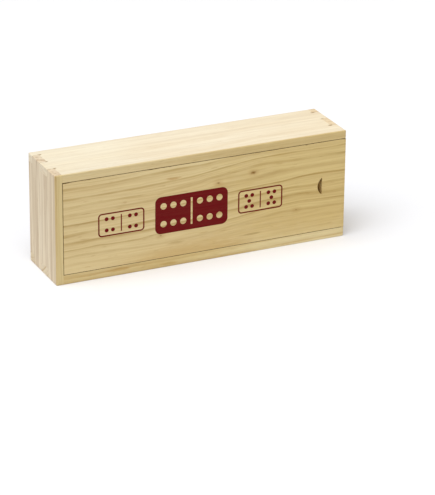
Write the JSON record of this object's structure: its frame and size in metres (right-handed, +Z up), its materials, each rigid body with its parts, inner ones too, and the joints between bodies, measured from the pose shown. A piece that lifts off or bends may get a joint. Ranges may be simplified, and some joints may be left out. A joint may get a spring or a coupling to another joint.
{
  "type": "domino storage box",
  "caption": "Slim finger-jointed pine box for game tiles, with a full-face lid that slides out of one end in grooves and has a half-moon thumb notch.",
  "frame": {"origin": "middle of the long narrow side that the box stands on, at the surface it stands on", "axes": "+X along the length, the way the lid slides out; -Y out of the lid's face; +Y out of the base; +Z up"},
  "size_m": [0.192, 0.043, 0.07],
  "materials": {
    "pine_wall": "sanded bare pine",
    "pine_lid": "sanded bare pine with straight grain",
    "birch_ply": "sanded birch plywood"
  },
  "bodies": {
    "case": {"upper_wall": "pine_wall", "lower_wall": "pine_wall", "closed_end_wall": "pine_wall", "open_end_wall": "pine_wall", "base_panel": "birch_ply"},
    "lid": {"sliding_lid": "pine_lid"}
  },
  "joints": [
    {"name": "lid_slide", "type": "slide", "parent": "case", "child": "lid", "axis": [1, 0, 0], "range_m": [0, 0.192]}
  ]
}
